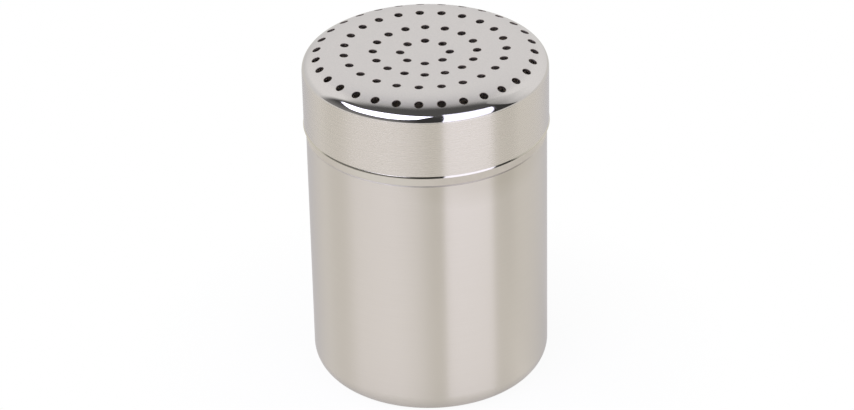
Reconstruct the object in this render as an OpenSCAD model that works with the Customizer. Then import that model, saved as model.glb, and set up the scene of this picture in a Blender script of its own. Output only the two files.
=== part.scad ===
// Sugar caster: a drawn steel can under a push-on lid with four rings of holes.
// Millimetres, +Z up, origin at the middle of the base, the first hole of every ring towards +X.

/* [Can] */
// Outside diameter of the can below its neck
can_d = 68.8; // [54:0.2:90]
// Height of the can from the foot ring to the rim
can_h = 96.7; // [60:0.1:140]
// Outside radius of the corner between the wall and the base
base_corner = 6.6; // [3:0.1:12]
// Width of the flat foot ring round the base
foot_w = 4; // [2:0.5:8]
// Rise of the base inside the foot ring
base_rise = 0.8; // [0.3:0.1:2]
// Thickness of the can's sheet
can_wall = 0.6; // [0.4:0.05:1]

/* [Neck] */
// Depth of the step from the can's wall in to the neck
neck_step = 0.1; // [0.05:0.05:0.4]
// Height of that step
neck_step_h = 0.4; // [0.2:0.1:1]
// Bare neck between that step and the lid's lower edge
neck_show = 2.7; // [1:0.1:8]

/* [Lid] */
// Height of the lid from its lower edge to its crest
lid_h = 22.3; // [14:0.1:32]
// Thickness of the lid's sheet
lid_wall = 0.6; // [0.4:0.05:1]
// Slip clearance between the neck and the skirt, on each side
lid_clearance = 0.1; // [0.05:0.01:0.3]
// Outside radius of the shoulder between the skirt and the crown
shoulder_r = 3.5; // [2.5:0.1:6]
// Outside radius of the crown
crown_r = 18; // [10:0.5:26]
// Slope where the shoulder passes into the crown, in degrees
crown_slope = 30; // [20:1:45]
// Slope of the dish that falls from the crown to the middle, in degrees
dish_slope = 3.2; // [1:0.1:6]
// Radius of the hollow at the middle of the dish
hollow_r = 80; // [40:5:120]
// Slope of the flared lip at the skirt's lower edge, from the upright, in degrees
lip_slope = 15; // [10:1:30]
// How far the lip stands out from the skirt
lip_proud = 0.2; // [0.05:0.05:0.4]

/* [Holes] */
// Number of holes in each ring, from the outer ring inwards
ring_holes = [31, 23, 16, 8]; // [4:1:40]
// Steps from each ring to the next one inwards
ring_steps = [7.9, 8.3, 7.7]; // [5:0.1:12]
// Distance from the lid's outside to the outer ring
ring_edge = 4.1; // [3:0.1:8]
// Diameter of the outer ring's holes, which the drawing of the crown has stretched
outer_hole_d = 2.4; // [1:0.1:3]
// Diameter of the other holes
hole_d = 2.3; // [1:0.1:3]
// Least metal between the holes of a ring; a ring too small for it is left out
hole_web = 0.5; // [0.3:0.1:2]

/* [Hidden] */
$fn = 180;
hole_fn = 48;
base_fn = 1440;
satin_steel = [0.80, 0.78, 0.75];
lid_steel = [0.78, 0.77, 0.75];

// Each arc stands a hair proud of its neighbours and laps them, so that they cross and don't just touch
hair = 0.001;
lap = 5;

// Can
can_r = can_d / 2;
neck_r = can_r - neck_step;
rim_r = can_wall / 2;
rim_c = [neck_r - rim_r, can_h - rim_r];
foot_r = can_r - base_corner;
base_r = foot_r - foot_w;
base_sphere = (base_r ^ 2 + base_rise ^ 2) / (2 * base_rise);
base_c = [0, base_rise - base_sphere];

// The round rim seats in the corner inside the lid, nearer to it than to the skirt
lid_r = neck_r + lid_clearance + lid_wall;
seat_gap = lid_clearance / 2;
seat_r = shoulder_r - lid_wall - rim_r;
seat_rise = sqrt((seat_r - seat_gap) ^ 2 - (seat_r - lid_clearance) ^ 2);
skirt_top = rim_c.y - seat_rise;

// Lid section, with heights from the top of the skirt: shoulder arc, crown arc, straight dish, hollow
shoulder_c = [lid_r - shoulder_r, 0];
crown_c = on_arc(shoulder_c, shoulder_r - crown_r, crown_slope);
dish_start = on_arc(crown_c, crown_r, -dish_slope);
hollow_c = [0, dish_start.y - dish_start.x * tan(dish_slope) + hollow_r / cos(dish_slope)];
lid_edge = crown_c.y + crown_r - lid_h;
lip_top = lid_edge + lip_proud / tan(lip_slope);
neck_z = skirt_top + lid_edge - neck_show;

// Point on an arc about c where the surface falls outwards at the given slope
function on_arc(c, r, slope) = c + r * [sin(slope), cos(slope)];

// Radius of a ring of holes, counted from the outer ring inwards
function ring_r(i) = i == 0 ? lid_r - ring_edge : ring_r(i - 1) - ring_steps[i - 1];

// Diameter of a ring's holes
function ring_hole_d(i) = i == 0 ? outer_hole_d : hole_d;

// Slope and height of the lid's outside at a radius on the crown or the dish
function lid_slope(r) = r > dish_start.x ? asin((r - crown_c.x) / crown_r) : -dish_slope;
function lid_height(r) = r > dish_start.x
    ? on_arc(crown_c, crown_r, lid_slope(r)).y
    : dish_start.y - (dish_start.x - r) * tan(dish_slope);

// Round edge of a section between two slopes, with a band of the metal under it
module arc_band(c, r, from, to) {
    p = on_arc(c, r, from);
    q = on_arc(c, r, to);
    out = on_arc([0, 0], r / 2, (from + to) / 2);
    intersection() {
        translate(c) circle(r);
        polygon([p - out / 4, p, p + out, q + out, q, q - out / 4]);
    }
}

// Half section of the can's outline, taken in by inset, up to the given height
module can_outline(inset, top) {
    corner_c = [foot_r, base_corner];
    floor_end = [foot_r, inset];
    wall_start = [can_r - inset, base_corner];
    difference() {
        union() {
            polygon([
                [0, inset], floor_end, wall_start,
                [can_r - inset, neck_z - neck_step_h], [neck_r - inset, neck_z],
                [neck_r - inset, top], [0, top]
            ]);
            arc_band(corner_c, base_corner - inset, 90, 180);
        }
        translate(base_c) circle(base_sphere + inset, $fn = base_fn);
    }
}

// Half section of the rounded rim, above the middle of its round
module rim_outline() {
    intersection() {
        translate(rim_c) circle(rim_r);
        translate(rim_c - [can_wall, 0]) square([2 * can_wall, can_wall]);
    }
}

// Half section of the lid's outline, taken in by inset, down to the given height
module lid_outline(inset, bottom) {
    flat = inset + hair;
    lip_bend = lip_top - inset * tan(lip_slope / 2);
    lip_end = lid_r - flat + (lip_bend - bottom) * tan(lip_slope);
    dish_edge = on_arc(hollow_c, -hollow_r - flat, -dish_slope);
    difference() {
        union() {
            polygon([
                [0, bottom], [lip_end, bottom], [lid_r - flat, lip_bend], [lid_r - flat, 0],
                on_arc(crown_c, crown_r - flat, crown_slope),
                on_arc(crown_c, crown_r - flat, -dish_slope),
                dish_edge, [0, dish_edge.y]
            ]);
            arc_band(shoulder_c, shoulder_r - inset + hair, crown_slope - lap, 90 + lap);
            arc_band(crown_c, crown_r - inset, -dish_slope - lap, crown_slope);
        }
        translate(hollow_c) circle(hollow_r + flat + hair);
    }
}

// One ring of hole cutters, each square to the lid's surface
module hole_ring(count, r, d) {
    for (i = [0 : count - 1])
        rotate(360 * i / count)
            translate([r, 0, lid_height(r)])
                rotate([0, lid_slope(r), 0])
                    cylinder(h = 4 * lid_wall, d = d, center = true, $fn = hole_fn);
}

// All the rings that have room for their holes
module hole_pattern() {
    for (i = [0 : len(ring_holes) - 1]) {
        spacing = 2 * ring_r(i) * sin(180 / ring_holes[i]);
        if (spacing >= ring_hole_d(i) + hole_web)
            hole_ring(ring_holes[i], ring_r(i), ring_hole_d(i));
    }
}

// Drawn can: one sheet from the domed base to the rounded rim of the neck
module can() {
    color(satin_steel)
        rotate_extrude()
            difference() {
                union() {
                    can_outline(0, rim_c.y);
                    rim_outline();
                }
                can_outline(can_wall, can_h);
            }
}

// Drawn lid: skirt with a flared lip, polished shoulder, low crown and a perforated dish
module perforated_lid() {
    color(lid_steel)
        translate([0, 0, skirt_top])
            difference() {
                rotate_extrude()
                    difference() {
                        lid_outline(0, lid_edge);
                        lid_outline(lid_wall, lid_edge - lid_wall);
                    }
                hole_pattern();
            }
}

can();
perforated_lid();
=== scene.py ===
"""Sugar caster: a brushed steel can under a push-on lid with a perforated top and a polished shoulder."""

import math

import bmesh
import bpy
from mathutils import Matrix, Vector, geometry


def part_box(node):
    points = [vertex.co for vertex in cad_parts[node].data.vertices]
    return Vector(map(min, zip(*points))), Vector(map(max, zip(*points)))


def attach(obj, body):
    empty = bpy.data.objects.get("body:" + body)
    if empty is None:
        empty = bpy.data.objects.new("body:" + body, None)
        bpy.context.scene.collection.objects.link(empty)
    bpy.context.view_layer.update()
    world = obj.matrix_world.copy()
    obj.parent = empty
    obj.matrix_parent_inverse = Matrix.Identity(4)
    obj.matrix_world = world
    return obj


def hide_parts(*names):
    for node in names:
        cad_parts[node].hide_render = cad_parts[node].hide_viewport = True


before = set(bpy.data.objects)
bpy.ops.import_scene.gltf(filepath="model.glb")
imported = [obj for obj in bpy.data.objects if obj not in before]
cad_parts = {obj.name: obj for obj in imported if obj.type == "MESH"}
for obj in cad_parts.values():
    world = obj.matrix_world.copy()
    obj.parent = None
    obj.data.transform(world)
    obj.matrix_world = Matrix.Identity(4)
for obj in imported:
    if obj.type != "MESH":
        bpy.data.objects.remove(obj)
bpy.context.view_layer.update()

MM = 0.001
WHITE = (1, 1, 1)

# Sizes that the solids give: the can's wall and rim, and the lid's lip, lower edge and crest
_, can_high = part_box("can")
lid_low, lid_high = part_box("perforated_lid")
CAN_R = can_high.x
CAN_H = can_high.z
LIP_R = min(-lid_low.x, -lid_low.y, lid_high.x, lid_high.y)
LID_EDGE = lid_low.z
LID_CREST = lid_high.z

# Can sheet, as in the solid model
WALL = 0.6 * MM
BASE_CORNER = 6.6 * MM
FOOT_W = 4 * MM
BASE_RISE = 0.8 * MM
NECK_STEP = 0.1 * MM
NECK_STEP_H = 0.4 * MM
NECK_SHOW = 2.7 * MM
NECK_R = CAN_R - NECK_STEP
NECK_Z = LID_EDGE - NECK_SHOW

# Lid sheet, as in the solid model
SLIP = 0.1 * MM
LID_R = NECK_R + SLIP + WALL
SHOULDER_R = 3.5 * MM
CROWN_R = 18 * MM
CROWN_SLOPE = math.radians(30)
DISH_SLOPE = math.radians(3.2)
HOLLOW_R = 80 * MM
LIP_SLOPE = math.radians(15)
LIP_PROUD = 0.2 * MM

# The polish starts where the shoulder leans back this far, and ends softly at this slope of the crown
POLISH_START = math.radians(8)
POLISH_END = math.radians(26)
POLISH_FADE = 0.6 * MM

# The lip's outside is softly crowned between two slopes, with a small round below it and a blend above
LIP_LOW = math.radians(13)
LIP_HIGH = math.radians(26)
LIP_CORNER = 0.05 * MM
LIP_BLEND = 0.2 * MM

# Holes, ring by ring from the outside inwards: count, radius of the ring, diameter
HOLE_RINGS = [
    (31, LID_R - 4.1 * MM, 2.4 * MM),
    (23, LID_R - 12.0 * MM, 2.3 * MM),
    (16, LID_R - 20.3 * MM, 2.3 * MM),
    (8, LID_R - 28.0 * MM, 2.3 * MM),
]
HOLE_EDGE = 0.1 * MM

# How finely curves are cut up, and how far the top's points keep from the holes' edges
TURN_STEPS = 288
DOME_STEPS = 12
WALL_STEPS = 24
NECK_STEPS = 8
SKIRT_STEPS = 12
FLAT_STEPS = 2
HOLE_STEPS = 40
EDGE_STEPS = 3
ARC_STEP = math.radians(4)
TOP_MESH = 0.9 * MM
HOLE_CLEAR = TOP_MESH / 3

# Points of a section closer than the first are one, and lengths below the second count as nothing
SAME_POINT = 1e-7
TINY = 1e-9

# Places of the finishes in each piece's list of materials
CAN_WALL, CAN_SEAM, CAN_NECK, CAN_INSIDE = range(4)
LID_SKIRT, LID_LIP, LID_TOP, LID_INSIDE, LID_HOLE = range(5)

# Centres of the lid's arcs, worked out downwards from its crest
CROWN_C = Vector((0, LID_CREST - CROWN_R))
SHOULDER_C = Vector((LID_R - SHOULDER_R, 0))
CROWN_C.x = SHOULDER_C.x - (CROWN_R - SHOULDER_R) * math.sin(CROWN_SLOPE)
SHOULDER_C.y = CROWN_C.y + (CROWN_R - SHOULDER_R) * math.cos(CROWN_SLOPE)
TOP_R = SHOULDER_C.x + SHOULDER_R * math.sin(CROWN_SLOPE)
DISH_R = CROWN_C.x - CROWN_R * math.sin(DISH_SLOPE)
DISH_Z = CROWN_C.y + CROWN_R * math.cos(DISH_SLOPE)
HOLLOW_EDGE = HOLLOW_R * math.sin(DISH_SLOPE)

# Most of a noise's values lie in this range
NOISE_RANGE = (0.3, 0.7)

# Camera, from the photograph's view of the rim circles and the holes
LENS = 138.035
SENSOR = 36
CLIP_START = 0.05
VIEW_DISTANCE = 0.94797
VIEW_ELEVATION = math.radians(29.9135)
VIEW_AZIMUTH = math.radians(0.8278)
VIEW_ROLL = math.radians(-1.246)
VIEW_TARGET = Vector((-0.36 * MM, 0, 50.63 * MM))

# Studio, with azimuths measured from the camera's side towards +X
LIGHT_TARGET = Vector((0, 0, 0.097))
LAMP_COLOUR = (0.96, 0.97, 1.21)
FILL_LIGHT = 0.55
FLOOR_R = 0.7
FLOOR_STEPS = 128
ROOM_R = 3
ROOM_STEPS = 64

# The table's colours in reflections: plain, with painted shade on its right side, and with painted shade
# close in front of the can
TABLE_TINT = (0.88, 0.868, 0.838)
RIGHT_SHADE_TINT = (0.82, 0.809, 0.781)
SHADE_TINT = (0.69, 0.68, 0.655)

# The azimuth of the painted shade on the table's right side, and its soft edge in cosines of the angle
# from there
RIGHT_AZIMUTH = 94
RIGHT_FADE = (0.875, 0.978)

# The middle of the shade on the table, its soft edge, and a scale that draws it out sideways
SHADE_PLACE = (0, -25 * MM, 0)
SHADE_FADE = (10.5 * MM, 21.5 * MM)
SHADE_SCALE = (0.6, 1, 1)

# The way in which the studio's white stays whole, and its dip elsewhere: soft edge, depth and height
WHOLE_WAY = Vector((0.6, 1, 0))
DIP_FADE = (0.74, 0.9)
DIP_DEPTH = 0.14
DIP_HEIGHT = 0.33

# Edges of the dim half, for a room of radius 1: way into it, reach past the axis, half its softness
LEFT_EDGE = (Vector((0.54, -1, -0.21)), 0.72, 0.085)
TOP_EDGE = (Vector((0, -1, 0)), 0.29, 0.14)
RIGHT_EDGES = [
    (Vector((-0.85, -1, 0)), 0.61, 0.5),
    (Vector((-1.08, -0.7, -0.45)), 0.995, 0.02),
]


def facing(azimuth, elevation):
    """Unit direction from the object, by azimuth from the camera's side and elevation, in degrees."""
    a, e = math.radians(azimuth), math.radians(elevation)
    return Vector((math.sin(a) * math.cos(e), -math.cos(a) * math.cos(e), math.sin(e)))


def polar(radius, angle):
    """Point of a half section or of a plan, by its distance and its angle."""
    return Vector((math.cos(angle), math.sin(angle))) * radius


def swung(flat, angle):
    """A point or a normal of the half section, swung about the axis."""
    return (flat.x * math.cos(angle), flat.x * math.sin(angle), flat.y)


def arc(centre, radius, start, end, hollow=False):
    """Stations of an arc, each a point with its normal; a hollow arc's normals face its centre."""
    steps = max(2, round(abs(end - start) / ARC_STEP))
    side = -1 if hollow else 1
    angles = [start + (end - start) * i / steps for i in range(steps + 1)]
    return [(centre + polar(radius, a), polar(side, a)) for a in angles]


def straight(p, q, steps):
    """Stations of a straight stretch, with the open side on the right of its direction."""
    along = (q - p).normalized()
    normal = Vector((along.y, -along.x))
    return [(p.lerp(q, i / steps), normal) for i in range(steps + 1)]


def turned_over(stations):
    """The same stations seen from the metal's other side, in the opposite order."""
    return [(p, -n) for p, n in reversed(stations)]


def smooth_joins(stations):
    """Drops repeated points; where two stretches meet at an angle their normals are averaged."""
    kept = []
    for p, n in stations:
        if kept and (p - kept[-1][0]).length < SAME_POINT:
            kept[-1] = (p, (n + kept[-1][1]).normalized())
        else:
            kept.append((p, n))
    return kept


class Shell:
    """The points, true normals, faces and finishes of one piece."""

    def __init__(self):
        self.points, self.normals, self.faces, self.finishes = [], [], [], []

    def add(self, point, normal):
        """Keeps a point with its normal and gives its number."""
        self.points.append(point)
        self.normals.append(normal)
        return len(self.points) - 1

    def face(self, corners, finish):
        """Keeps a face by its points' numbers, with its finish."""
        self.faces.append(corners)
        self.finishes.append(finish)

    def ring(self, station):
        """One turn of a station about the axis, or a single point on it."""
        p, n = station
        if p.x < TINY:
            return [self.add((0, 0, p.y), (0, 0, math.copysign(1, n.y)))]
        turn = [2 * math.pi * i / TURN_STEPS for i in range(TURN_STEPS)]
        return [self.add(swung(p, a), swung(n, a)) for a in turn]

    def bridge(self, low, high, finish):
        """Faces between two closed rings, where either may be a single point."""
        count = max(len(low), len(high))
        for i in range(count):
            j = (i + 1) % count
            corners = [low[i % len(low)], low[j % len(low)], high[j % len(high)], high[i % len(high)]]
            self.face(list(dict.fromkeys(corners)), finish)

    def sweep(self, rings, finish):
        """Faces along a row of rings."""
        for low, high in zip(rings, rings[1:]):
            self.bridge(low, high, finish)

    def lay(self, stations, finish, first=None):
        """Turns stations about the axis, where an earlier ring may stand for the first."""
        rings = [first or self.ring(stations[0])]
        rings += [self.ring(s) for s in stations[1:]]
        self.sweep(rings, finish)
        return rings

    def build(self, name, materials):
        """The finished object."""
        mesh = bpy.data.meshes.new(name)
        mesh.from_pydata(self.points, [], self.faces)
        for material in materials:
            mesh.materials.append(material)
        mesh.polygons.foreach_set("material_index", self.finishes)
        mesh.shade_smooth()
        mesh.normals_split_custom_set_from_vertices(self.normals)
        mesh.update()
        made = bpy.data.objects.new(name, mesh)
        bpy.context.scene.collection.objects.link(made)
        return made


def base_dome(inset):
    """Stations of the raised middle of the base, from the axis to the foot ring."""
    base_r = CAN_R - BASE_CORNER - FOOT_W
    sphere = (base_r ** 2 + BASE_RISE ** 2) / (2 * BASE_RISE) + inset
    centre = Vector((0, BASE_RISE - sphere + inset))
    edge = math.acos((sphere - BASE_RISE) / sphere)
    angles = [math.pi / 2 - edge * i / DOME_STEPS for i in range(DOME_STEPS + 1)]
    return [(centre + polar(sphere, a), -polar(1, a)) for a in angles]


def neck_curve(outside):
    """Stations of the soft step from the wall in to the neck, going up."""
    stations = []
    for i in range(NECK_STEPS + 1):
        t = i / NECK_STEPS
        r = outside - NECK_STEP * (1 - math.cos(math.pi * t)) / 2
        lean = NECK_STEP * math.pi * math.sin(math.pi * t) / 2 / NECK_STEP_H
        point = Vector((r, NECK_Z - NECK_STEP_H * (1 - t)))
        stations.append((point, Vector((1, lean)).normalized()))
    return stations


def can_side(inset):
    """Stations of one side of the can's sheet, from the middle of the base up to the rim's round."""
    corner = Vector((CAN_R - BASE_CORNER, BASE_CORNER))
    dome = base_dome(inset)
    foot = straight(dome[-1][0], Vector((corner.x, inset)), FLAT_STEPS)
    fillet = arc(corner, BASE_CORNER - inset, -math.pi / 2, 0)
    step = neck_curve(CAN_R - inset)
    wall = straight(fillet[-1][0], step[0][0], WALL_STEPS)
    neck = straight(step[-1][0], Vector((NECK_R - inset, CAN_H - WALL / 2)), NECK_STEPS)
    return smooth_joins(dome + foot + fillet + wall), step, neck


def make_can(materials):
    """The can: one drawn sheet with a domed base, a rounded corner, a straight wall and a neck."""
    shell = Shell()
    body, step, neck = can_side(0)
    inner_body, inner_step, inner_neck = can_side(WALL)
    rim = arc(Vector((NECK_R - WALL / 2, CAN_H - WALL / 2)), WALL / 2, 0, math.pi)
    lining = turned_over(smooth_joins(inner_body + inner_step + inner_neck))
    stretches = [
        (body, CAN_WALL),
        (step, CAN_SEAM),
        (neck, CAN_NECK),
        (rim, CAN_NECK),
        (lining, CAN_INSIDE),
    ]
    last = None
    for stations, finish in stretches:
        last = shell.lay(stations, finish, last)[-1]
    return shell.build("can_shell", materials)


def lid_top(r):
    """Height and normal of the lid's outside at a radius on the crown, the dish or the hollow."""
    if r > DISH_R:
        slope = math.asin((r - CROWN_C.x) / CROWN_R)
        z = CROWN_C.y + CROWN_R * math.cos(slope)
    elif r > HOLLOW_EDGE:
        slope = -DISH_SLOPE
        z = DISH_Z - (DISH_R - r) * math.tan(DISH_SLOPE)
    else:
        slope = -math.asin(r / HOLLOW_R)
        edge_z = DISH_Z - (DISH_R - HOLLOW_EDGE) * math.tan(DISH_SLOPE)
        z = edge_z + HOLLOW_R * (math.cos(DISH_SLOPE) - math.cos(slope))
    return z, Vector((math.sin(slope), math.cos(slope)))


def on_lid(x, y):
    """Point and normal of the lid's outside over a place in plan."""
    r = math.hypot(x, y)
    z, n = lid_top(r)
    out = Vector((x / r, y / r)) if r > TINY else Vector((0, 0))
    return Vector((x, y, z)), Vector((out.x * n.x, out.y * n.x, n.y))


class Hole:
    """One hole through the lid, square to its surface, with softly rounded edges."""

    def __init__(self, ring_r, angle, diameter):
        self.r = diameter / 2
        self.centre, self.axis = on_lid(ring_r * math.cos(angle), ring_r * math.sin(angle))
        self.across = Vector((-math.sin(angle), math.cos(angle), 0))
        self.along = self.across.cross(self.axis)

    def outward(self, step):
        """Direction from the hole's axis to a point of its edge."""
        a = 2 * math.pi * step / HOLE_STEPS
        return self.along * math.cos(a) + self.across * math.sin(a)

    def edge_point(self, step):
        """Where the rounded edge leaves the lid's outside, found along the hole's axis in a few tries."""
        p = self.centre + self.outward(step) * (self.r + HOLE_EDGE)
        tries = 4
        for _ in range(tries):
            surface, normal = on_lid(p.x, p.y)
            p += self.axis * ((surface - p).dot(normal) / self.axis.dot(normal))
        return p

    def wall(self, shell, top, bottom):
        """Lines the hole through the sheet: a rounded edge, a straight bore and a rounded edge."""
        quarter = [math.pi / 2 * i / EDGE_STEPS for i in range(1, EDGE_STEPS + 1)]
        upper = [(a, HOLE_EDGE) for a in quarter]
        lower = [(math.pi - a, WALL - HOLE_EDGE) for a in reversed(quarter)]
        rings = [top]
        for angle, round_depth in upper + lower:
            inward = HOLE_EDGE * math.sin(angle)
            depth = round_depth - HOLE_EDGE * math.cos(angle)
            ring = []
            for step, edge in enumerate(top):
                out = self.outward(step)
                p = shell.points[edge] - out * inward - self.axis * depth
                n = self.axis * math.cos(angle) - out * math.sin(angle)
                ring.append(shell.add(p, n))
            rings.append(ring)
        shell.sweep(rings + [bottom], LID_HOLE)


def lid_holes():
    """All the holes, each ring starting on +X."""
    return [
        Hole(ring_r, 2 * math.pi * i / count, diameter)
        for count, ring_r, diameter in HOLE_RINGS
        for i in range(count)
    ]


def field_points(holes):
    """Places in plan between the holes, on evenly filled rings."""
    spots = [Vector((0, 0))]
    rings = round(TOP_R / TOP_MESH)
    for k in range(1, rings):
        r = TOP_R * k / rings
        count = round(2 * math.pi * r / TOP_MESH)
        turn = math.pi / count * (k % 2)
        spots += [polar(r, turn + 2 * math.pi * i / count) for i in range(count)]
    clear = [(h.centre.xy, h.r + HOLE_EDGE + HOLE_CLEAR) for h in holes]
    return [s for s in spots if all((s - c).length > gap for c, gap in clear)]


def cut_top(outline, holes):
    """The top cut up in plan: places, triangles, the places' first numbers, and the holes' edges."""
    plan = list(outline)
    loops = [range(len(plan))]
    for hole in holes:
        loops.append(range(len(plan), len(plan) + HOLE_STEPS))
        plan += [hole.edge_point(step).xy for step in range(HOLE_STEPS)]
    plan += field_points(holes)
    borders = [(loop[i], loop[(i + 1) % len(loop)]) for loop in loops for i in range(len(loop))]
    within_borders = 1
    flat, _, triangles, sources, _, _ = geometry.delaunay_2d_cdt(plan, borders, [], within_borders, TINY)
    return flat, triangles, [source[0] for source in sources], loops[1:]


def perforated_top(shell, outer_ring, inner_ring):
    """The crown and dish between the holes, on both sides of the sheet, and the holes' walls."""
    holes = lid_holes()
    outline = [Vector(shell.points[i]).xy for i in outer_ring]
    flat, triangles, sources, edges = cut_top(outline, holes)
    hole_of = [(source - TURN_STEPS) // HOLE_STEPS for source in sources]
    top, under = [], []
    for spot, source, hole in zip(flat, sources, hole_of):
        if hole < 0:
            top.append(outer_ring[source])
            under.append(inner_ring[source])
            continue
        p, n = on_lid(spot.x, spot.y)
        down = holes[hole].axis if hole < len(holes) else n
        top.append(shell.add(p, n))
        under.append(shell.add(p - down * WALL, -n))
    for t in triangles:
        touched = {hole_of[i] for i in t}
        inside_hole = len(touched) == 1 and 0 <= min(touched) < len(holes)
        if not inside_hole:
            shell.face([top[i] for i in t], LID_TOP)
            shell.face([under[i] for i in reversed(t)], LID_INSIDE)
    place_of = {source: i for i, source in enumerate(sources)}
    for hole, edge in zip(holes, edges):
        rim = [place_of[i] for i in edge]
        hole.wall(shell, [top[i] for i in rim], [under[i] for i in rim])


def lid_lip():
    """Stations of the flared lip, from the skirt's inside round its lower edge and up to its outside."""
    corner_c = Vector((LIP_R - LIP_CORNER, LID_EDGE + LIP_CORNER))
    corner = arc(corner_c, LIP_CORNER, -math.pi / 2, LIP_LOW)
    narrowing = LID_R - corner[-1][0].x + LIP_BLEND * (1 - math.cos(LIP_HIGH))
    crown_r = narrowing / (math.cos(LIP_HIGH) - math.cos(LIP_LOW))
    crown = arc(corner[-1][0] - polar(crown_r, LIP_LOW), crown_r, LIP_LOW, LIP_HIGH)
    blend_c = crown[-1][0] + polar(LIP_BLEND, LIP_HIGH)
    blend = arc(blend_c, LIP_BLEND, math.pi + LIP_HIGH, math.pi, hollow=True)
    inner_bend = LID_EDGE + LIP_PROUD / math.tan(LIP_SLOPE) - WALL * math.tan(LIP_SLOPE / 2)
    bend = Vector((LID_R - WALL, inner_bend))
    inner_end = Vector((bend.x + (inner_bend - LID_EDGE) * math.tan(LIP_SLOPE), LID_EDGE))
    lead_in = straight(bend, inner_end, FLAT_STEPS)
    edge = straight(inner_end, corner[0][0], FLAT_STEPS)
    return lead_in + edge + corner + crown + blend


def make_lid(materials):
    """The lid: one drawn sheet with a flared lip, a skirt, a shoulder and a perforated, dished top."""
    shell = Shell()
    lip = lid_lip()
    shoulder_end = math.pi / 2 - CROWN_SLOPE
    skirt = straight(lip[-1][0], Vector((LID_R, SHOULDER_C.y)), SKIRT_STEPS)
    foot = arc(SHOULDER_C, SHOULDER_R, 0, POLISH_START)
    shoulder = arc(SHOULDER_C, SHOULDER_R, POLISH_START, shoulder_end)
    inner_skirt = straight(lip[0][0], Vector((LID_R - WALL, SHOULDER_C.y)), SKIRT_STEPS)
    inner_shoulder = arc(SHOULDER_C, SHOULDER_R - WALL, 0, shoulder_end)
    lining = turned_over(smooth_joins(inner_skirt + inner_shoulder))
    lipped = shell.lay(smooth_joins(lip), LID_LIP)
    walled = shell.lay(skirt + foot[1:], LID_SKIRT, lipped[-1])
    shouldered = shell.lay(shoulder, LID_TOP, walled[-1])
    lined = [shell.ring(s) for s in lining[:-1]] + [lipped[0]]
    shell.sweep(lined, LID_INSIDE)
    perforated_top(shell, shouldered[-1], lined[0])
    return shell.build("lid_shell", materials)


class Tree:
    """The nodes of a material or of the world, with the steps that several of them share."""

    def __init__(self, owner):
        owner.use_nodes = True
        self.nodes = owner.node_tree.nodes
        self.links = owner.node_tree.links

    def feed(self, node, values):
        """Gives each named input another node's output, or a fixed number, vector or colour."""
        for name, value in values.items():
            socket = node.inputs[name]
            if isinstance(value, bpy.types.NodeSocket):
                self.links.new(value, socket)
            elif socket.type == "RGBA":
                socket.default_value = (*value, 1)
            else:
                socket.default_value = value

    def place(self, system="Object"):
        """The place of a point, in one of the systems of coordinates."""
        return self.nodes.new("ShaderNodeTexCoord").outputs[system]

    def stretched(self, scale):
        """The place on the object in metres, with a scale for each axis."""
        mapping = self.nodes.new("ShaderNodeMapping")
        self.feed(mapping, {"Vector": self.place(), "Scale": scale})
        return mapping.outputs["Vector"]

    def part(self, place, axis):
        """One coordinate of a place."""
        apart = self.nodes.new("ShaderNodeSeparateXYZ")
        self.feed(apart, {"Vector": place})
        return apart.outputs[axis]

    def ray(self, kind):
        """1 for one kind of ray and 0 for the others."""
        return self.nodes.new("ShaderNodeLightPath").outputs[kind]

    def noise(self, scale, detail):
        """Noise over the object's own coordinates, with a scale for each axis."""
        noise = self.nodes.new("ShaderNodeTexNoise")
        self.feed(noise, {"Vector": self.stretched(scale), "Scale": 1, "Detail": detail})
        return noise.outputs["Fac"]

    def ranged(self, value, low, high, source=NOISE_RANGE, curve="LINEAR"):
        """A value spread from one range over another."""
        spread = self.nodes.new("ShaderNodeMapRange")
        spread.interpolation_type = curve
        self.feed(spread, {"From Min": source[0], "From Max": source[1]})
        self.feed(spread, {"To Min": low, "To Max": high, "Value": value})
        return spread.outputs["Result"]

    def tinted(self, noise, dark, light):
        """A colour between two tones, by a noise."""
        ramp = self.nodes.new("ShaderNodeValToRGB")
        for element, position, tone in zip(ramp.color_ramp.elements, NOISE_RANGE, (dark, light)):
            element.position = position
            element.color = (*tone, 1)
        self.feed(ramp, {"Fac": noise})
        return ramp.outputs["Color"]

    def mixed(self, factor, first, second, kind="RGBA"):
        """A colour or a number between two others."""
        mix = self.nodes.new("ShaderNodeMix")
        mix.data_type = kind
        self.feed(mix, {"Factor": factor, "A": first, "B": second})
        return mix.outputs["Result"]

    def measured(self, place, operation, other=(0, 0, 0)):
        """A number worked out from a place and another vector."""
        step = self.nodes.new("ShaderNodeVectorMath")
        step.operation = operation
        self.feed(step, {0: place, 1: other})
        return step.outputs["Value"]

    def joined(self, values, operation):
        """Values joined two at a time by one operation."""
        total = values[0]
        for value in values[1:]:
            step = self.nodes.new("ShaderNodeMath")
            step.operation = operation
            self.feed(step, {0: total, 1: value})
            total = step.outputs["Value"]
        return total

    def close_to(self, middle, fade, scale=(1, 1, 1)):
        """1 about a place, falling to 0 over a range of distances, with a scale for each axis."""
        centre = [m * s for m, s in zip(middle, scale)]
        distance = self.measured(self.stretched(scale), "DISTANCE", centre)
        return self.ranged(distance, 1, 0, fade)


def new_steel(name):
    """A new metal: its material, its nodes and its shader."""
    material = bpy.data.materials.new(name)
    tree = Tree(material)
    shader = tree.nodes["Principled BSDF"]
    tree.feed(shader, {"Metallic": 1})
    return material, tree, shader


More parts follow.
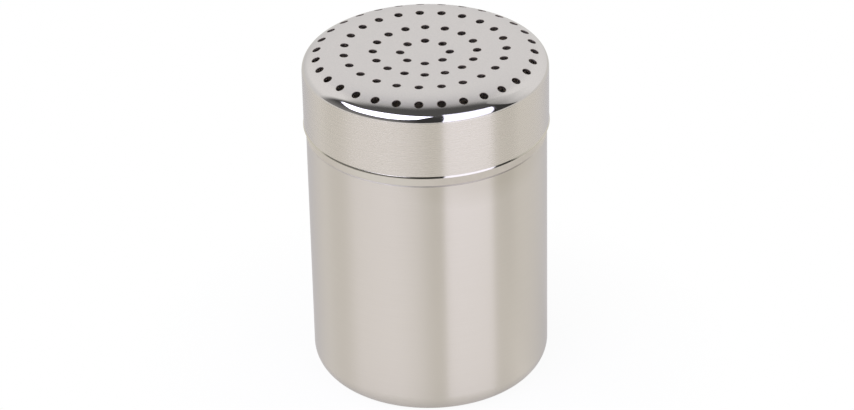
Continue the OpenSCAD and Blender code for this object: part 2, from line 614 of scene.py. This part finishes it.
def brushed_steel(name, dark, light, roughness, anisotropy):
    """Steel brushed round the axis: the light spreads up and down, so it stands in upright bands."""
    line_scale = (60, 60, 11000)
    line_depth = 0.05e-6
    uneven = 0.006
    quarter_turn = 0.25
    grazing_tint = (0.71, 0.73, 0.82)
    material, tree, shader = new_steel(name)
    lines = tree.noise(line_scale, detail=2)
    round_axis = tree.nodes.new("ShaderNodeTangent")
    round_axis.direction_type = "RADIAL"
    round_axis.axis = "Z"
    relief = tree.nodes.new("ShaderNodeBump")
    tree.feed(relief, {"Height": lines, "Strength": 1, "Distance": line_depth})
    tree.feed(shader, {
        "Base Color": tree.tinted(lines, dark, light),
        "Roughness": tree.ranged(lines, roughness - uneven, roughness + uneven),
        "Specular Tint": grazing_tint,
        "Anisotropic": anisotropy,
        "Anisotropic Rotation": quarter_turn,
        "Tangent": round_axis.outputs["Tangent"],
        "Normal": relief.outputs["Normal"],
    })
    return material


def satin_steel(name, dark, light, roughness, grain):
    """Plain satin steel with a fine even grain."""
    uneven = 0.03
    material, tree, shader = new_steel(name)
    mottle = tree.noise((grain, grain, grain), detail=4)
    tree.feed(shader, {
        "Base Color": tree.tinted(mottle, dark, light),
        "Roughness": tree.ranged(mottle, roughness - uneven, roughness + uneven),
    })
    return material


def lay_painted_patch(material, colour, middle, fade, scale=(1, 1, 1)):
    """Lays a patch of another tone over a steel, which dies away round its middle; here it paints shade
    on the wall and the seam and light on the neck.
    """
    tree = Tree(material)
    shader = tree.nodes["Principled BSDF"]
    plain = shader.inputs["Base Color"].links[0].from_socket
    mask = tree.close_to(middle, fade, scale)
    tree.feed(shader, {"Base Color": tree.mixed(mask, plain, colour)})


def wall_steel():
    """The can's brushed wall, with a faint patch of painted shade under the neck at the front right."""
    steel = brushed_steel(
        "brushed_wall",
        dark=(0.71, 0.661, 0.598),
        light=(0.73, 0.681, 0.618),
        roughness=0.28,
        anisotropy=1,
    )
    # Painted shade: darker steel in a soft zone under the lid's edge at the front right
    middle = facing(32, 0) * CAN_R + Vector((0, 0, NECK_Z))
    fade = (8 * MM, 27 * MM)
    lay_painted_patch(steel, (0.653, 0.606, 0.535), middle, fade, scale=(1, 1, 3))
    return steel


def seam_steel_painted_shade():
    """The small step at the foot of the neck in rougher steel, darkened into a line at the front right by
    painted shade.
    """
    steel = satin_steel(
        "seam_painted_shade",
        dark=(0.62, 0.58, 0.53),
        light=(0.65, 0.61, 0.56),
        roughness=0.45,
        grain=900,
    )
    # Painted shade in the step's crease: a darker tone, strongest at the front right
    middle = facing(24, 0) * NECK_R + Vector((0, 0, NECK_Z))
    lay_painted_patch(steel, (0.42, 0.382, 0.33), middle, fade=(14 * MM, 22 * MM))
    return steel


def neck_steel():
    """The plain satin neck, made brighter at the front left by a patch of painted light."""
    steel = satin_steel(
        "neck_painted_light",
        dark=(0.592, 0.55, 0.497),
        light=(0.632, 0.585, 0.532),
        roughness=0.36,
        grain=900,
    )
    # Painted light: a lighter tone on the neck at the front left
    middle = facing(-21, 0) * NECK_R + Vector((0, 0, NECK_Z + NECK_SHOW / 2))
    lay_painted_patch(steel, (0.7, 0.665, 0.615), middle, fade=(5 * MM, 17 * MM))
    return steel


def inside_steel(name):
    """The dull satin inside of either piece, in a pale warm tone that is painted light, which brightens
    the dark inside seen through the holes.
    """
    return satin_steel(name, dark=(0.86, 0.80, 0.72), light=(0.92, 0.86, 0.78), roughness=0.6, grain=700)


def skirt_steel():
    """The lid's brushed skirt, a little tighter in its shine than the can's wall."""
    return brushed_steel(
        "brushed_skirt",
        dark=(0.714, 0.665, 0.601),
        light=(0.734, 0.685, 0.621),
        roughness=0.272,
        anisotropy=0.985,
    )


def lip_steel():
    """The lid's polished lip."""
    return satin_steel(
        "polished_lip",
        dark=(0.57, 0.537, 0.46),
        light=(0.61, 0.575, 0.5),
        roughness=0.1,
        grain=1500,
    )


def top_steel():
    """The lid's satin top, which turns into a polished shoulder along a soft line round the crown."""
    dark = (0.628, 0.603, 0.587)
    light = (0.675, 0.644, 0.623)
    polish = 0.06
    satin = 0.39
    grazing_tint = (0.82, 0.82, 0.82)
    grain_scale = (2500, 2500, 2500)
    material, tree, shader = new_steel("polished_top")
    grain = tree.noise(grain_scale, detail=3)
    height = tree.part(tree.place(), "Z")
    line_z = CROWN_C.y + CROWN_R * math.cos(POLISH_END)
    line = (line_z - POLISH_FADE, line_z + POLISH_FADE)
    tree.feed(shader, {
        "Base Color": tree.tinted(grain, dark, light),
        "Roughness": tree.ranged(height, polish, satin, line, "SMOOTHSTEP"),
        "Specular Tint": grazing_tint,
    })
    return material


def hole_steel():
    """The walls of the holes, dark with painted shade."""
    # Dark tones that paint the shade inside the holes
    return satin_steel(
        "hole_wall_painted_shade",
        dark=(0.22, 0.185, 0.16),
        light=(0.29, 0.25, 0.215),
        roughness=0.5,
        grain=2500,
    )


def glowing(name, colour, strength):
    """A material that only gives light."""
    material = bpy.data.materials.new(name)
    tree = Tree(material)
    tree.nodes.remove(tree.nodes["Principled BSDF"])
    glow = tree.nodes.new("ShaderNodeEmission")
    tree.feed(glow, {"Color": colour, "Strength": strength})
    tree.feed(tree.nodes["Material Output"], {"Surface": glow.outputs["Emission"]})
    return material


def mesh_of(form, name):
    """The mesh of a finished form."""
    mesh = bpy.data.meshes.new(name)
    form.to_mesh(mesh)
    form.free()
    return mesh


def stage_object(name, mesh, material):
    """A piece of the studio, which isn't part of the caster."""
    made = bpy.data.objects.new(name, mesh)
    made.data.materials.append(material)
    bpy.context.scene.collection.objects.link(made)
    return made


def softbox(name, outline, place, look, radiance):
    """A flat lamp of the given outline, which surfaces and reflections see and the camera doesn't."""
    mesh = bpy.data.meshes.new(name)
    mesh.from_pydata([(x, y, 0) for x, y in outline], [], [list(range(len(outline)))])
    made = stage_object(name, mesh, glowing(name, LAMP_COLOUR, radiance))
    made.location = place
    made.rotation_mode = "QUATERNION"
    made.rotation_quaternion = look.to_track_quat("-Z", "Y")
    made.visible_camera = False


def make_left_softbox():
    """The broad lamp high on the left, with the outline that the shoulder reflects."""
    away = 1.1
    way = facing(-44, 36)
    under = [(-0.84, 0.2), (-0.56, -0.34), (-0.4, -0.42), (0.22, -0.435), (0.5, -0.33), (0.72, -0.13)]
    over = [(0.745, 0.18), (0.78, 0.49), (-0.1, 0.39), (-0.4, 0.27), (-0.81, 0.32)]
    softbox("left_softbox", under + over, LIGHT_TARGET + way * away, -way, radiance=3.35)


def make_right_softbox():
    """The tall upright lamp on the right, which widens and leans outwards towards its top."""
    near = facing(14, 0) * 0.85
    far = facing(58.5, 0) * 1.3
    across = far - near
    low = -0.05
    lean = 0.53
    near_top = (0.1, 1.42)
    far_top = (across.length + lean, 1.5)
    look = Vector((-across.y, across.x, 0)).normalized()
    outline = [(0, low), (across.length, low), far_top, near_top]
    softbox("right_softbox", outline, near, look, radiance=1.79)


def seen_directly(tree):
    """1 for camera, glossy and transmission rays and 0 for the light that falls on things."""
    kinds = ("Is Camera Ray", "Is Glossy Ray", "Is Transmission Ray")
    return tree.joined([tree.ray(kind) for kind in kinds], "MAXIMUM")


def low_dip(tree, way, distance):
    """How much dimmer the white at a distance is near the horizon, except behind the can."""
    backwards = tree.measured(way, "DOT_PRODUCT", WHOLE_WAY / distance)
    height = tree.measured(way, "DOT_PRODUCT", Vector((0, 0, 1)) / distance)
    beside = tree.ranged(backwards, 1, 0, DIP_FADE)
    low = tree.ranged(height, DIP_DEPTH, 0, (0, DIP_HEIGHT))
    return tree.joined([beside, low], "MULTIPLY")


def make_world():
    """White where it is seen, with a soft dip in reflections, and a plain level of light on things."""
    world = bpy.data.worlds.new("studio")
    bpy.context.scene.world = world
    tree = Tree(world)
    world.cycles.sampling_method = "NONE"
    level = tree.ranged(seen_directly(tree), FILL_LIGHT, 1, (0, 1))
    dip = low_dip(tree, tree.place("Generated"), distance=1)
    seen_dip = tree.joined([dip, tree.ray("Is Glossy Ray")], "MULTIPLY")
    strength = tree.joined([level, seen_dip], "SUBTRACT")
    tree.feed(tree.nodes["Background"], {"Color": WHITE, "Strength": strength})


def table_tint(tree, place, reach):
    """The table's colour in reflections, by its place and its distance from the can's axis, with painted
    shade on its right side and close in front of the can.
    """
    across = tree.measured(place, "DOT_PRODUCT", facing(RIGHT_AZIMUTH, 0))
    cosine = tree.joined([across, reach], "DIVIDE")
    right = tree.ranged(cosine, 0, 1, RIGHT_FADE)
    front = tree.close_to(SHADE_PLACE, SHADE_FADE, SHADE_SCALE)
    return tree.mixed(front, tree.mixed(right, TABLE_TINT, RIGHT_SHADE_TINT), SHADE_TINT)


def floor_material():
    """Pale matt table that keeps a soft shadow by the can and fades into the white around it."""
    dark = (0.86, 0.86, 0.86)
    light = (0.9, 0.9, 0.9)
    grain_scale = (60, 60, 60)
    white_share = 0.92
    fade = (0.03, 0.09)
    material = bpy.data.materials.new("pale_floor")
    material.cycles.emission_sampling = "NONE"
    tree = Tree(material)
    tree.nodes.remove(tree.nodes["Principled BSDF"])
    place = tree.place()
    reach = tree.measured(place, "LENGTH")
    matt = tree.nodes.new("ShaderNodeBsdfDiffuse")
    tree.feed(matt, {"Color": tree.tinted(tree.noise(grain_scale, detail=3), dark, light)})
    glow = tree.nodes.new("ShaderNodeEmission")
    tint = table_tint(tree, place, reach)
    tree.feed(glow, {"Color": tree.mixed(tree.ray("Is Glossy Ray"), WHITE, tint)})
    share = tree.ranged(reach, white_share, 1, fade)
    shown = tree.joined([seen_directly(tree), share], "MULTIPLY")
    mix = tree.nodes.new("ShaderNodeMixShader")
    tree.feed(mix, {"Fac": shown, 1: matt.outputs["BSDF"], 2: glow.outputs["Emission"]})
    tree.feed(tree.nodes["Material Output"], {"Surface": mix.outputs["Shader"]})
    return material


def make_floor():
    """The round table top."""
    form = bmesh.new()
    bmesh.ops.create_circle(form, cap_ends=True, segments=FLOOR_STEPS, radius=FLOOR_R)
    stage_object("floor", mesh_of(form, "floor"), floor_material())


def dim_edge(tree, place, into, reach, soft):
    """1 on the open side of an edge of the dim half, falling softly to 0 inside it."""
    across = tree.measured(place, "DOT_PRODUCT", into / ROOM_R)
    return tree.ranged(across, 1, 0, (-reach - soft, soft - reach), "SMOOTHSTEP")


def dim_light(tree, place):
    """The dim half's own light: faint, stronger high up, with a spill low on its left."""
    deep = 0.05
    high = 0.105
    spill = 0.2
    spill_above = 0.1
    climb = (0.5 * ROOM_R, 0.83 * ROOM_R)
    side = (-0.5 * ROOM_R, -0.1 * ROOM_R)
    foot = (0, 0.5 * ROOM_R)
    height = tree.part(place, "Z")
    upper = tree.ranged(height, deep, high, climb)
    left = tree.ranged(tree.part(place, "X"), spill, 0, side)
    low = tree.ranged(height, 1, spill_above, foot)
    return tree.joined([upper, tree.joined([left, low], "MULTIPLY")], "ADD")


def dim_room_material():
    """The dim half's own light inside its edges, and the studio's white past them."""
    material = glowing("dim_room", WHITE, 1)
    material.cycles.emission_sampling = "NONE"
    tree = Tree(material)
    place = tree.place()
    right = tree.joined([dim_edge(tree, place, *edge) for edge in RIGHT_EDGES], "MINIMUM")
    others = [dim_edge(tree, place, *edge) for edge in (LEFT_EDGE, TOP_EDGE)]
    open_side = tree.joined([right] + others, "MAXIMUM")
    white = tree.ranged(low_dip(tree, place, ROOM_R), 1, 0, (0, 1))
    strength = tree.mixed(open_side, dim_light(tree, place), white, kind="FLOAT")
    tree.feed(tree.nodes["Emission"], {"Strength": strength})
    return material


def make_dim_room():
    """The dim half of the studio, on the camera's side, which the polished metal reflects."""
    form = bmesh.new()
    bmesh.ops.create_uvsphere(form, u_segments=ROOM_STEPS, v_segments=ROOM_STEPS // 2, radius=ROOM_R)
    for into, reach, soft in (LEFT_EDGE, TOP_EDGE):
        whole = form.verts[:] + form.edges[:] + form.faces[:]
        edge = into * (-(reach + soft) * ROOM_R / into.length_squared)
        bmesh.ops.bisect_plane(form, geom=whole, plane_co=edge, plane_no=into, clear_inner=True)
    made = stage_object("dim_room", mesh_of(form, "dim_room"), dim_room_material())
    made.location = LIGHT_TARGET
    made.visible_camera = False


def make_camera():
    """The photograph's view: round the object, with a small roll."""
    camera = bpy.data.cameras.new("camera")
    camera.lens = LENS
    camera.sensor_width = SENSOR
    camera.clip_start = CLIP_START
    made = bpy.data.objects.new("camera", camera)
    bpy.context.scene.collection.objects.link(made)
    back = Vector((0, -math.cos(VIEW_ELEVATION), math.sin(VIEW_ELEVATION)))
    right = Vector((1, 0, 0))
    up = back.cross(right)
    rolled = Matrix.Rotation(VIEW_ROLL, 3, back)
    axes = Matrix((rolled @ right, rolled @ up, back)).transposed()
    placed = Matrix.Translation(VIEW_TARGET + back * VIEW_DISTANCE) @ axes.to_4x4()
    made.matrix_world = Matrix.Rotation(VIEW_AZIMUTH, 4, "Z") @ placed
    bpy.context.scene.camera = made


bpy.context.scene.view_settings.view_transform = "Standard"
make_camera()
make_world()
make_floor()
make_dim_room()
make_left_softbox()
make_right_softbox()

can = make_can([wall_steel(), seam_steel_painted_shade(), neck_steel(), inside_steel("dull_inside")])
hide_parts("can")
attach(can, "can")

lid = make_lid([skirt_steel(), lip_steel(), top_steel(), inside_steel("lid_inside"), hole_steel()])
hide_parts("perforated_lid")
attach(lid, "lid")
